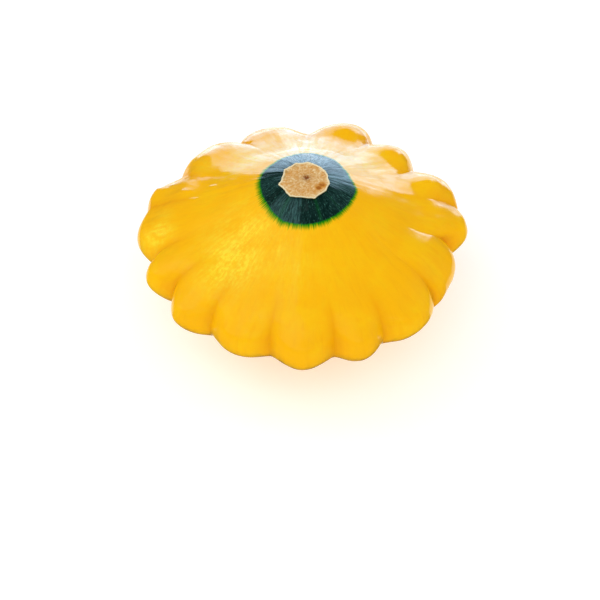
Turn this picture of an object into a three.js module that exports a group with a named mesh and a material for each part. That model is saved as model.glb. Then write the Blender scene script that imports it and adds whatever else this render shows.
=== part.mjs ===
// A whole pattypan squash, as picked: a flattened, scalloped fruit that rests on
// its blossom end, with the corky stub of its cut stalk seated in the crown.
//
// Millimetres, +Z up. The origin is the middle of the resting spot, on the
// fruit's own axis. Azimuths are degrees about +Z, counted from +X.

import * as THREE from 'three';

// Sections through the skin, from the edge of the foot to the crown, as
// [distance from the axis, height]. CREST runs down the middle of a lobe and
// VALLEY down a groove, and the points of the two belong to each other in order.
const CREST = [
  [12, 0], [21, 3], [31, 7.6], [42, 13.2], [52, 19.6], [59.8, 26.6], [63.9, 33.4], [63, 39.5],
  [58.6, 42.2], [51.5, 45.9], [43, 48.8], [34, 52.9], [26, 57.1], [19, 60.8], [13.2, 64.2], [9.4, 65.9],
];
const VALLEY = [
  [12, 0], [20.5, 3], [30, 8.6], [39.5, 15.2], [48, 21.6], [54.4, 27], [57.4, 32], [56.4, 37.2],
  [52.6, 41.7], [47.2, 45.1], [40.6, 48.7], [33.2, 52.9], [25.8, 57.2], [19, 61], [13.2, 64.2], [9.4, 65.9],
];

// The fifteen lobes, anticlockwise. groove is the azimuth at the rim of the
// groove where the lobe starts, and bend is how far that groove turns on its way
// up to the crown. depth is its share of the full valley at the rim, run is how
// much of that it keeps further up, and soft is how much rounder than usual its
// bottom is. lean over 1 moves the lobe's top towards its end and reach is how
// far it stands out past the crest section. The shoulder swells by knob over the
// last knobRun up to the radius knobAt, and the slope inside that dips by hollow.
const LOBES = [
  {
    groove: -60, bend: 0, depth: 0.85, run: 0.1, soft: 0.4, lean: 1, reach: -1,
    knob: 0, knobAt: 55, knobRun: 10, hollow: 0,
  },
  {
    groove: -34, bend: -0.5, depth: 0.9, run: 0.2, soft: 0, lean: 0.75, reach: -4,
    knob: 0.6, knobAt: 52, knobRun: 10, hollow: -1,
  },
  {
    groove: -5.2, bend: -7, depth: 1.35, run: 0.4, soft: 0, lean: 1, reach: -0.3,
    knob: 0, knobAt: 55, knobRun: 10, hollow: 0.8,
  },
  {
    groove: 13, bend: -0.8, depth: 0.35, run: 0.2, soft: 0.1, lean: 0.76, reach: -0.9,
    knob: 3.5, knobAt: 54.5, knobRun: 11, hollow: -0.4,
  },
  {
    groove: 38.6, bend: -7.4, depth: 1.2, run: 0.4, soft: 0.4, lean: 0.8, reach: -3.7,
    knob: 4.2, knobAt: 53, knobRun: 10.5, hollow: -1,
  },
  {
    groove: 61, bend: 0.4, depth: 0.78, run: 0.7, soft: 0.6, lean: 0.75, reach: 2,
    knob: 2.6, knobAt: 56.2, knobRun: 10.5, hollow: 0.2,
  },
  {
    groove: 89, bend: -0.4, depth: 0.83, run: 1, soft: 0.2, lean: 1.1, reach: -1.4,
    knob: 0.8, knobAt: 57, knobRun: 8.5, hollow: -0.5,
  },
  {
    groove: 118.7, bend: -1.6, depth: 0.87, run: 0.8, soft: 0, lean: 0.85, reach: -1.7,
    knob: 1.7, knobAt: 55.5, knobRun: 11, hollow: -0.4,
  },
  {
    groove: 148.2, bend: 5.3, depth: 0.73, run: 0.2, soft: 0, lean: 1.6, reach: 0.9,
    knob: -0.6, knobAt: 58, knobRun: 8.5, hollow: 0.3,
  },
  {
    groove: 169.4, bend: 0, depth: 0.07, run: 0, soft: 0, lean: 1.05, reach: 1.4,
    knob: 0.6, knobAt: 57.5, knobRun: 10, hollow: 0,
  },
  {
    groove: 192.4, bend: 3, depth: 0.74, run: 0.3, soft: 0.4, lean: 1, reach: 0.6,
    knob: 0, knobAt: 55, knobRun: 10, hollow: 0,
  },
  {
    groove: 210.5, bend: 2, depth: 0.9, run: 0.1, soft: 0.4, lean: 1, reach: 0.5,
    knob: 0, knobAt: 55, knobRun: 10, hollow: 0,
  },
  {
    groove: 233, bend: 0, depth: 0.85, run: 0.05, soft: 0.4, lean: 1, reach: -1,
    knob: 0, knobAt: 55, knobRun: 10, hollow: 0,
  },
  {
    groove: 257, bend: 0, depth: 0.85, run: 0.05, soft: 0.4, lean: 1, reach: 0.5,
    knob: 0, knobAt: 55, knobRun: 10, hollow: 0,
  },
  {
    groove: 281, bend: 0, depth: 0.85, run: 0.05, soft: 0.4, lean: 1, reach: -0.5,
    knob: 0, knobAt: 55, knobRun: 10, hollow: 0,
  },
];
const RIM_SHARPNESS = 0.8;     // exponent of a lobe's arch at the rim: lower is a plumper lobe
const SHOULDER_SOFTNESS = 1.3; // the same exponent near the crown and the foot
const RIM_BAND = 0.22;         // share of the section over which the arch stays plump
const RUN_START = 0.46;        // share of the section where a groove starts to settle to its run
const RUN_END = 0.64;
const BEND_START = 0.46;       // share of the section where a groove starts to turn by its bend
const BEND_END = 0.68;
const FULLNESS = 1.5;          // how strongly reach and knob keep to the middle of a lobe

const RIM_RADIUS = 65;         // axis to the tip of an even lobe
const REACH_WIDTH = 16;        // how far in from the rim a lobe's reach is felt
const RIM_HEIGHT = 33.4;       // widest level of the fruit
const KNOB_FALL = 6.5;         // how soon a shoulder's swelling dies away towards the rim
const HOLLOW_RADIUS = 44;      // middle of the dip inside a lobe's shoulder
const HOLLOW_WIDTH = 6;
const HOLLOW_FULLNESS = 0.8;   // how strongly the dip keeps to the middle of a lobe

const CROWN_HEIGHT = 65.9;
const BUTTON_RADIUS = 4.4;     // blossom scar in the middle of the foot
const BUTTON_GROOVE = 0.6;     // depth of the ring round the blossom scar

const SEAT_RADIUS = 7.4;       // shallow seat in the crown that the stub grows from
const SEAT_FLOOR = 64.2;
const GAP = 0.3;               // clearance between the stub and its seat

// Corners of the cut stub, as [azimuth, distance from the axis]. The stalk was
// a little off the axis, so the corners towards -Y stand further out.
const STUB_CORNERS = [
  [10, 8.6], [28, 8.7], [48, 8.4], [60, 8.45], [83, 8.9], [104, 8.5], [114, 9], [134, 8.65], [149, 9.35],
  [180, 9], [190, 9.3], [199, 10.95], [217, 10.2], [229, 10.8], [240, 11.7], [251, 11], [277, 11.1],
  [287, 11.7], [319, 10.35], [342, 9.8],
];
const STUB_CORNER_RADIUS = 9.6; // corner distance of an even stub
const STUB_TOP = 67.3;          // top of the thin rim round the cut

const COLUMNS_PER_LOBE = 10;
const COLUMN_CROWDING = 0.07;  // draws the columns of each lobe towards its grooves
const SKIN_ROWS = 24;
const STUB_COLUMNS = 72;

function bell(value, middle, width) {
  return Math.exp(-(((value - middle) / width) ** 2));
}

function sectionCurve(points) {
  return new THREE.SplineCurve(points.map(([radius, height]) => new THREE.Vector2(radius, height)));
}

const crestCurve = sectionCurve(CREST);
const valleyCurve = sectionCurve(VALLEY);

// Moves one point of the skin to its place. lobe is the lobe's number, across
// runs from 0 at its first groove to 1 at its second, and along runs from 0 at
// the foot to 1 at the crown.
function skinPoint(lobe, across, along) {
  const here = LOBES[lobe];
  const next = LOBES[(lobe + 1) % LOBES.length];
  const groove = across < 0.5 ? here : next;
  const rim = bell(along, 0.5, RIM_BAND);
  const exponent = RIM_SHARPNESS * rim + SHOULDER_SOFTNESS * (1 - rim) + groove.soft;
  const swell = Math.sin(Math.PI * across ** here.lean);
  const settled = THREE.MathUtils.smoothstep(along, RUN_START, RUN_END);
  const depth = groove.depth * THREE.MathUtils.lerp(1, groove.run, settled);
  const share = 1 - (1 - swell ** exponent) * depth;
  const crest = crestCurve.getPoint(along);
  const point = valleyCurve.getPoint(along).lerp(crest, share);

  const full = swell ** FULLNESS;
  point.x += here.reach * full * bell(crest.x, RIM_RADIUS, REACH_WIDTH);
  if (crest.y > RIM_HEIGHT) {
    const rise = THREE.MathUtils.smoothstep(point.x, here.knobAt - here.knobRun, here.knobAt);
    const fall = point.x < here.knobAt ? 1 : bell(point.x, here.knobAt, KNOB_FALL);
    const dip = here.hollow * swell ** HOLLOW_FULLNESS * bell(point.x, HOLLOW_RADIUS, HOLLOW_WIDTH);
    point.y += here.knob * full * rise * fall - dip;
  }
  return point;
}

// Azimuth of a column at one place along the section. The grooves turn by their
// bends on the way up, and the skin between two grooves turns evenly with them.
function skinAzimuth(lobe, across, along) {
  const here = LOBES[lobe];
  const next = LOBES[(lobe + 1) % LOBES.length];
  const span = lobe + 1 < LOBES.length ? next.groove - here.groove : next.groove + 360 - here.groove;
  const bend = THREE.MathUtils.lerp(here.bend, next.bend, across);
  return here.groove + across * span + bend * THREE.MathUtils.smoothstep(along, BEND_START, BEND_END);
}

// Lays a turned shape out again: every vertex of the lathe gets the radius,
// height and azimuth that place(column, row) gives.
function turned(profile, columns, place) {
  const geometry = new THREE.LatheGeometry(profile, columns);
  const position = geometry.getAttribute('position');
  for (let index = 0; index < position.count; index += 1) {
    const column = Math.floor(index / profile.length) % columns;
    const row = index % profile.length;
    const { radius, height, azimuth } = place(column, row);
    const angle = THREE.MathUtils.degToRad(azimuth);
    position.setXYZ(index, radius * Math.cos(angle), radius * Math.sin(angle), height);
  }
  geometry.computeVertexNormals();
  return geometry;
}

function fruitGeometry() {
  const foot = [[0, 0], [BUTTON_RADIUS, 0], [BUTTON_RADIUS + 0.8, BUTTON_GROOVE], [BUTTON_RADIUS + 1.8, 0]];
  const crown = [
    [SEAT_RADIUS + 0.4, CROWN_HEIGHT],
    [SEAT_RADIUS, CROWN_HEIGHT - 0.4],
    [SEAT_RADIUS, SEAT_FLOOR],
    [0, SEAT_FLOOR],
  ];
  const skin = [];
  for (let row = 0; row <= SKIN_ROWS; row += 1) {
    skin.push(crestCurve.getPoint(row / SKIN_ROWS).toArray());
  }
  const profile = [...foot, ...skin, ...crown].map(([radius, height]) => new THREE.Vector2(radius, height));
  const columns = LOBES.length * COLUMNS_PER_LOBE;

  return turned(profile, columns, (column, row) => {
    const lobe = Math.floor(column / COLUMNS_PER_LOBE);
    const step = (column % COLUMNS_PER_LOBE) / COLUMNS_PER_LOBE;
    const across = step - COLUMN_CROWDING * Math.sin(2 * Math.PI * step);
    const along = (row - foot.length) / SKIN_ROWS;
    const azimuth = skinAzimuth(lobe, across, THREE.MathUtils.clamp(along, 0, 1));
    if (along < 0 || along > 1) {
      return { radius: profile[row].x, height: profile[row].y, azimuth };
    }
    const point = skinPoint(lobe, across, along);
    return { radius: point.x, height: point.y, azimuth };
  });
}

// Distance from the axis to the stub's straight-sided outline at an azimuth.
function stubReach(azimuth) {
  const count = STUB_CORNERS.length;
  const turn = azimuth < STUB_CORNERS[0][0] ? azimuth + 360 : azimuth;
  let index = count - 1;
  while (STUB_CORNERS[index][0] > turn) {
    index -= 1;
  }
  const [startAngle, start] = STUB_CORNERS[index];
  const [rawEnd, end] = STUB_CORNERS[(index + 1) % count];
  const endAngle = index + 1 < count ? rawEnd : rawEnd + 360;
  const before = THREE.MathUtils.degToRad(turn - startAngle);
  const after = THREE.MathUtils.degToRad(endAngle - turn);
  return (start * end * Math.sin(before + after)) / (start * Math.sin(before) + end * Math.sin(after));
}

function stubGeometry() {
  const tenon = SEAT_RADIUS - GAP;
  const base = SEAT_FLOOR + GAP;
  const underside = CROWN_HEIGHT + GAP;
  // [radius, height, share of the corners that this row shows]
  const rows = [
    [0, base, 0], [tenon, base, 0], [tenon, underside, 0], [9.3, underside + 0.3, 1],
    [9.6, STUB_TOP - 0.5, 1], [9.6, STUB_TOP - 0.1, 1], [9.3, STUB_TOP, 1], [9, STUB_TOP - 0.1, 1],
    [8.5, STUB_TOP - 0.3, 0.95], [4.5, STUB_TOP - 0.5, 0.4], [1.1, STUB_TOP - 0.5, 0], [0.5, STUB_TOP - 0.8, 0],
    [0, STUB_TOP - 0.9, 0],
  ];
  const profile = rows.map(([radius, height]) => new THREE.Vector2(radius, height));
  return turned(profile, STUB_COLUMNS, (column, row) => {
    const azimuth = (column * 360) / STUB_COLUMNS;
    const [radius, height, corners] = rows[row];
    const cornered = radius * (1 + corners * (stubReach(azimuth) / STUB_CORNER_RADIUS - 1));
    return { radius: cornered, height, azimuth };
  });
}

function part(name, geometry, material) {
  const mesh = new THREE.Mesh(geometry, new THREE.MeshStandardMaterial(material));
  mesh.name = name;
  return mesh;
}

const squash = new THREE.Group();
squash.add(part('fruit', fruitGeometry(), { color: 0xf5b914, roughness: 0.38, metalness: 0 }));
squash.add(part('stem_stub', stubGeometry(), { color: 0xcda06c, roughness: 0.9, metalness: 0 }));

export default squash;
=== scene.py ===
"""The looks of a whole pattypan squash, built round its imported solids.

The fruit stands on its blossom end with the crown up. Shapes are worked out in
millimetres, from the fruit's own driving sizes, and placed in metres. Azimuths
are degrees about +Z, counted from +X.
"""

import logging
import math
from dataclasses import dataclass, field
from enum import Enum

import bpy
import numpy as np
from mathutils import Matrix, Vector, noise


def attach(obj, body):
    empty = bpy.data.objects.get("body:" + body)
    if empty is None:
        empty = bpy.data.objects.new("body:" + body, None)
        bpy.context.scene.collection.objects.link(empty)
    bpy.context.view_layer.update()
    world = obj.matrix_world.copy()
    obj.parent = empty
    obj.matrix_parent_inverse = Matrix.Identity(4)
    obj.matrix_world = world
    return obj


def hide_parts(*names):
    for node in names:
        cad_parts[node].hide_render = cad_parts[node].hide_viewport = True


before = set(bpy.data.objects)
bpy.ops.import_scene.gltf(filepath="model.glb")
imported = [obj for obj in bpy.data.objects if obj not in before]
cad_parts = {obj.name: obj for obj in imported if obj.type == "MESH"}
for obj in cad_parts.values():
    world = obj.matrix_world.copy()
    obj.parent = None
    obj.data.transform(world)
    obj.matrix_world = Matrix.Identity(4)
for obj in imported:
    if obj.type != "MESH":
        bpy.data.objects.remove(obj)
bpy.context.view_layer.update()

log = logging.getLogger("pattypan")

MM = 0.001
TURN = 360.0
PICTURE_SIDE = 600

# The crown and the seat in it that the stem stands in, in millimetres.
CROWN_HEIGHT = 65.9
SEAT_RADIUS = 7.4
SEAT_FLOOR = 64.2

# How much finer than the broad blotches the fine ones are, and a speck's soft edge.
FINE_BLOTCHES = 5.0
SPECK_EDGE = 0.02

Point = tuple[float, float]
Colour = tuple[float, float, float, float]
Socket = bpy.types.NodeSocket


class Slot(Enum):
    """The record's material slots."""

    SKIN = "skin"
    STEM = "stem"


class Body(Enum):
    """The bodies that the pieces ride on."""

    ROOT = "root"


# --------------------------------------------------------------------------
# Shapes
# --------------------------------------------------------------------------


def bell(value: np.ndarray, middle: float, width: float) -> np.ndarray:
    """Returns a smooth bump of height 1 round middle."""
    return np.exp(-(((value - middle) / width) ** 2))


def smoothstep(value: np.ndarray, start: float, end: float) -> np.ndarray:
    """Returns 0 before start, 1 after end and a smooth step between."""
    share = np.clip((value - start) / (end - start), 0.0, 1.0)
    return share * share * (3.0 - 2.0 * share)


def apart(azimuth: np.ndarray, other: float) -> np.ndarray:
    """Returns the signed angle from other to azimuth, within half a turn."""
    return (azimuth - other + TURN / 2) % TURN - TURN / 2


def arc(azimuth: np.ndarray, other: float, radius: np.ndarray) -> np.ndarray:
    """Returns the signed length of the arc from other to azimuth."""
    return np.radians(apart(azimuth, other)) * radius


def section(points: tuple[Point, ...], along: np.ndarray) -> np.ndarray:
    """Follows a smooth curve through the points of a section.

    Args:
        points: The points, as (distance from the axis, height).
        along: Places on the curve, from 0 at its start to 1 at its end.

    Returns:
        One (distance, height) for each place.
    """
    knots = np.asarray(points, float)
    last = len(knots) - 1
    place = np.asarray(along, float) * last
    start = np.minimum(np.floor(place).astype(int), last - 1)
    share = (place - start)[:, None]
    before = knots[np.maximum(start - 1, 0)]
    here = knots[start]
    there = knots[start + 1]
    after = knots[np.minimum(start + 2, last)]
    leave = (there - before) / 2
    arrive = (after - here) / 2
    cubic = 2 * here - 2 * there + leave + arrive
    square = -3 * here + 3 * there - 2 * leave - arrive
    return ((cubic * share + square) * share + leave) * share + here


def turned_grid(radius: np.ndarray, height: np.ndarray, azimuth: np.ndarray) -> np.ndarray:
    """Turns radii and heights into points.

    Args:
        radius: Distances from the axis, as (columns, rows).
        height: Heights above the floor, shaped as radius.
        azimuth: Azimuths in degrees, shaped as radius.

    Returns:
        The points in millimetres, as (columns, rows, 3).
    """
    angle = np.radians(azimuth)
    return np.stack([radius * np.cos(angle), radius * np.sin(angle), height], axis=-1)


def ring_grid(rings: list[Point], azimuth: np.ndarray) -> np.ndarray:
    """Turns round rings into points.

    Args:
        rings: The radius and the height of each ring.
        azimuth: The azimuth of each column, in degrees.

    Returns:
        The points in millimetres, as (columns, rings, 3).
    """
    radius, height = np.tile(np.array(rings, float), (len(azimuth), 1, 1)).transpose(2, 0, 1)
    return turned_grid(radius, height, np.tile(azimuth[:, None], (1, len(rings))))


def grid_normals(grid: np.ndarray) -> np.ndarray:
    """Works out which way each point of a grid faces.

    Args:
        grid: Points as (columns, rows, 3), closed round its columns.

    Returns:
        The outward unit normals, shaped as grid.
    """
    around = np.roll(grid, -1, axis=0) - np.roll(grid, 1, axis=0)
    upward = np.gradient(grid, axis=1)
    normal = np.cross(around, upward)
    return normal / np.maximum(np.linalg.norm(normal, axis=-1, keepdims=True), 1e-9)


def noise_field(points: np.ndarray, size: float, seed: float) -> np.ndarray:
    """Samples smooth noise.

    Args:
        points: The points, in millimetres, as (..., 3).
        size: The size of one lump, in millimetres.
        seed: Shifts the noise, so that two fields differ.

    Returns:
        Values between about -1 and 1, one for each point.
    """
    flat = points.reshape(-1, 3) / size + seed
    values = np.fromiter((noise.noise(Vector(p)) for p in flat.tolist()), float, len(flat))
    return values.reshape(points.shape[:-1])


def closed_mesh(name: str, grid: np.ndarray) -> bpy.types.Object:
    """Makes a closed mesh from a grid whose first and last rows lie on one point.

    Args:
        name: The piece's name.
        grid: Points in millimetres, as (columns, rows, 3).

    Returns:
        The new object, linked to the scene.
    """
    columns, rows, _ = grid.shape
    inner = rows - 2
    body = grid[:, 1:-1].reshape(-1, 3)
    low = grid[:, 0].mean(axis=0)
    high = grid[:, -1].mean(axis=0)
    points = np.vstack([body, low, high]) * MM
    low_index = columns * inner
    high_index = low_index + 1
    faces = []
    for column in range(columns):
        here = column * inner
        beside = ((column + 1) % columns) * inner
        faces.append((low_index, beside, here))
        for row in range(inner - 1):
            faces.append((here + row, beside + row, beside + row + 1, here + row + 1))
        faces.append((here + inner - 1, beside + inner - 1, high_index))
    mesh = bpy.data.meshes.new(name)
    mesh.from_pydata(points.tolist(), [], faces)
    mesh.shade_smooth()
    piece = bpy.data.objects.new(name, mesh)
    bpy.context.scene.collection.objects.link(piece)
    return piece


def write_mask(piece: bpy.types.Object, name: str, values: np.ndarray) -> None:
    """Stores one number for each point of a piece made by closed_mesh.

    Args:
        piece: The piece.
        name: The name that its material reads the numbers by.
        values: The numbers, as (columns, rows), for the grid that made it.
    """
    inside = values[:, 1:-1].reshape(-1)
    stored = np.concatenate([inside, [values[:, 0].mean(), values[:, -1].mean()]])
    attribute = piece.data.attributes.new(name, "FLOAT", "POINT")
    attribute.data.foreach_set("value", stored.astype(np.float32))


# --------------------------------------------------------------------------
# Shader work
# --------------------------------------------------------------------------


@dataclass(frozen=True)
class Ramp:
    """A smooth step that carries (start, end) to (low, high)."""

    start: float
    end: float
    low: float = 0.0
    high: float = 1.0


class Graph:
    """Builds a node tree in plain steps."""

    def __init__(self, tree: bpy.types.NodeTree) -> None:
        """Keeps the tree that the steps add to."""
        self.tree = tree

    def add(self, kind: str, **settings: object) -> bpy.types.Node:
        """Adds a node.

        Args:
            kind: The node's type.
            settings: The node's own properties, by name.

        Returns:
            The node.
        """
        node = self.tree.nodes.new(kind)
        for key, value in settings.items():
            setattr(node, key, value)
        return node

    def feed(self, socket: Socket, source: object) -> None:
        """Feeds one input.

        Args:
            socket: The input.
            source: The output to link it to, or the plain value to set it to.
        """
        if isinstance(source, Socket):
            self.tree.links.new(source, socket)
        else:
            socket.default_value = source

    def feed_in_order(self, node: bpy.types.Node, *sources: object) -> Socket:
        """Feeds the inputs that a node's settings leave open, in their order.

        Args:
            node: The node.
            sources: What each input takes.

        Returns:
            The first of the node's open outputs.
        """
        for socket, source in zip([each for each in node.inputs if each.enabled], sources):
            self.feed(socket, source)
        return next(each for each in node.outputs if each.enabled)

    def feed_by_name(self, node: bpy.types.Node, sources: dict[str, object]) -> Socket:
        """Feeds a node's inputs by name.

        Args:
            node: The node.
            sources: What each named input takes.

        Returns:
            The node's first output.
        """
        for name, source in sources.items():
            self.feed(node.inputs[name], source)
        return node.outputs[0]

    def sums(self, operation: str, *terms: object, clamp: bool = False) -> Socket:
        """Returns the result of one Math node."""
        return self.feed_in_order(self.add("ShaderNodeMath", operation=operation, use_clamp=clamp), *terms)

    def vector(self, operation: str, *terms: object) -> Socket:
        """Returns the result of one Vector Math node."""
        return self.feed_in_order(self.add("ShaderNodeVectorMath", operation=operation), *terms)

    def ramp(self, value: object, ramp: Ramp) -> Socket:
        """Returns value carried smoothly along a ramp."""
        node = self.add("ShaderNodeMapRange", interpolation_type="SMOOTHSTEP")
        return self.feed_in_order(node, value, ramp.start, ramp.end, ramp.low, ramp.high)

    def mix(self, share: object, first: object, second: object) -> Socket:
        """Returns two colours mixed by share."""
        node = self.add("ShaderNodeMix", data_type="RGBA", clamp_result=True)
        return self.feed_in_order(node, share, first, second)

    def between(self, share: object, first: object, second: object) -> Socket:
        """Returns two numbers mixed by share."""
        return self.feed_in_order(self.add("ShaderNodeMix", data_type="FLOAT"), share, first, second)

    def lumps(self, place: Socket, scale: object, detail: float, rough: float) -> Socket:
        """Returns plain noise at a place, between 0 and 1."""
        node = self.add("ShaderNodeTexNoise", noise_dimensions="3D")
        return self.feed_in_order(node, place, scale, detail, rough)

    def mask(self, name: str) -> Socket:
        """Returns a number stored on the piece."""
        return self.add("ShaderNodeAttribute", attribute_name=name).outputs["Fac"]

    def place(self) -> Socket:
        """Returns the place on the piece, in millimetres."""
        coordinates = self.add("ShaderNodeTexCoord").outputs["Object"]
        return self.vector("MULTIPLY", coordinates, (1 / MM,) * 3)

    def effect(self, group: bpy.types.NodeTree, **values: object) -> Socket:
        """Places a shared effect, feeds its inputs by name and returns its output."""
        return self.feed_by_name(self.add("ShaderNodeGroup", node_tree=group), values)


def new_effect(name: str, numbers: dict[str, float],
               output: str) -> tuple[Graph, bpy.types.Node, Socket]:
    """Starts a shared effect that works on a place.

    Args:
        name: The effect's name.
        numbers: Its inputs besides Place, with their default values.
        output: The name of the number that it puts out.

    Returns:
        The graph, the node that holds the inputs and the socket that takes the result.
    """
    tree = bpy.data.node_groups.new(name, "ShaderNodeTree")
    tree.interface.new_socket("Place", in_out="INPUT", socket_type="NodeSocketVector")
    for label, default in numbers.items():
        socket = tree.interface.new_socket(label, in_out="INPUT", socket_type="NodeSocketFloat")
        socket.default_value = default
    tree.interface.new_socket(output, in_out="OUTPUT", socket_type="NodeSocketFloat")
    graph = Graph(tree)
    given = graph.add("NodeGroupInput")
    return graph, given, graph.add("NodeGroupOutput").inputs[output]


def streaks_effect() -> bpy.types.NodeTree:
    """Builds fine streaks that run out from the axis, thinner than they are long.

    Returns:
        A group that puts out Streak, between 0 and 1.
    """
    graph, given, result = new_effect(
        "radial_streaks", {"Count": 20.0, "Length": 4.0, "Shift": 0.0}, "Streak")
    flat = graph.vector("MULTIPLY", given.outputs["Place"], (1.0, 1.0, 0.0))
    spread = graph.vector("SCALE", graph.vector("NORMALIZE", flat), given.outputs["Count"])
    along = graph.sums("DIVIDE", graph.vector("LENGTH", flat), given.outputs["Length"])
    shifted = graph.sums("ADD", along, given.outputs["Shift"])
    lift = graph.feed_by_name(graph.add("ShaderNodeCombineXYZ"), {"Z": shifted})
    spot = graph.vector("ADD", spread, lift)
    graph.feed(result, graph.lumps(spot, scale=1.0, detail=3.0, rough=0.6))
    return graph.tree


def mottle_effect() -> bpy.types.NodeTree:
    """Builds soft blotches at two sizes.

    Returns:
        A group that puts out Blotch, between 0 and 1.
    """
    graph, given, result = new_effect("mottle", {"Size": 8.0, "Fine": 0.35}, "Blotch")
    place = given.outputs["Place"]
    scale = graph.sums("DIVIDE", 1.0, given.outputs["Size"])
    broad = graph.lumps(place, scale, detail=2.0, rough=0.5)
    close = graph.lumps(place, graph.sums("MULTIPLY", scale, FINE_BLOTCHES), detail=3.0, rough=0.6)
    graph.feed(result, graph.between(given.outputs["Fine"], broad, close))
    return graph.tree


def specks_effect() -> bpy.types.NodeTree:
    """Builds small round specks, each of its own size.

    Returns:
        A group that puts out Speck, 1 in the middle of a speck and 0 off it.
    """
    graph, given, result = new_effect("specks", {"Spacing": 1.5, "Size": 0.3}, "Speck")
    cells = graph.add("ShaderNodeTexVoronoi", voronoi_dimensions="3D", feature="F1")
    graph.feed(cells.inputs["Vector"], given.outputs["Place"])
    graph.feed(cells.inputs["Scale"], graph.sums("DIVIDE", 1.0, given.outputs["Spacing"]))
    shade = graph.add("ShaderNodeSeparateColor")
    graph.feed(shade.inputs[0], cells.outputs["Color"])
    limit = graph.sums("MULTIPLY", given.outputs["Size"], shade.outputs[0])
    gap = graph.sums("SUBTRACT", limit, cells.outputs["Distance"])
    graph.feed(result, graph.sums("DIVIDE", gap, graph.sums("ADD", limit, SPECK_EDGE), clamp=True))
    return graph.tree


@dataclass(frozen=True)
class Streaks:
    """One kind of streak.

    count sets how many lie side by side, length is how long one is in
    millimetres and shift moves the noise, so that two kinds differ.
    """

    count: float
    length: float
    shift: float = 0.0


@dataclass(frozen=True)
class Mottle:
    """One kind of blotch: its size in millimetres and its share of finer blotches."""

    size: float
    fine: float


@dataclass(frozen=True)
class Specks:
    """One kind of speck: how far apart they lie in millimetres and how large they get."""

    spacing: float
    size: float


@dataclass
class Effects:
    """The effects that several finishes share."""

    streaks: bpy.types.NodeTree = field(default_factory=streaks_effect)
    mottle: bpy.types.NodeTree = field(default_factory=mottle_effect)
    specks: bpy.types.NodeTree = field(default_factory=specks_effect)


@dataclass
class Surface:
    """A surface that a finish works on: its graph, the place on it and the shared effects."""

    graph: Graph
    place: Socket
    effects: Effects

    def streaks(self, kind: Streaks) -> Socket:
        """Returns one kind of streak."""
        return self.graph.effect(
            self.effects.streaks, Place=self.place, Count=kind.count, Length=kind.length, Shift=kind.shift)

    def mottle(self, kind: Mottle) -> Socket:
        """Returns one kind of blotch."""
        return self.graph.effect(self.effects.mottle, Place=self.place, Size=kind.size, Fine=kind.fine)

    def specks(self, kind: Specks) -> Socket:
        """Returns one kind of speck."""
        return self.graph.effect(
            self.effects.specks, Place=self.place, Spacing=kind.spacing, Size=kind.size)


def srgb(red: int, green: int, blue: int) -> Colour:
    """Turns display values into a linear colour.

    Args:
        red: The red, between 0 and 255.
        green: The green, between 0 and 255.
        blue: The blue, between 0 and 255.

    Returns:
        The linear colour, opaque.
    """
    def linear(part: int) -> float:
        """Returns the linear share of one display value."""
        share = part / 255
        return share / 12.92 if share <= 0.04045 else ((share + 0.055) / 1.055) ** 2.4
    return (linear(red), linear(green), linear(blue), 1.0)


def new_material(name: str) -> tuple[bpy.types.Material, Graph, bpy.types.Node]:
    """Starts a material.

    Args:
        name: The material's name.

    Returns:
        The material, its graph and its Principled shader.
    """
    material = bpy.data.materials.new(name)
    material.use_nodes = True
    graph = Graph(material.node_tree)
    shader = next(n for n in graph.tree.nodes if n.type == "BSDF_PRINCIPLED")
    return material, graph, shader


# --------------------------------------------------------------------------
# Finishes
# --------------------------------------------------------------------------


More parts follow.
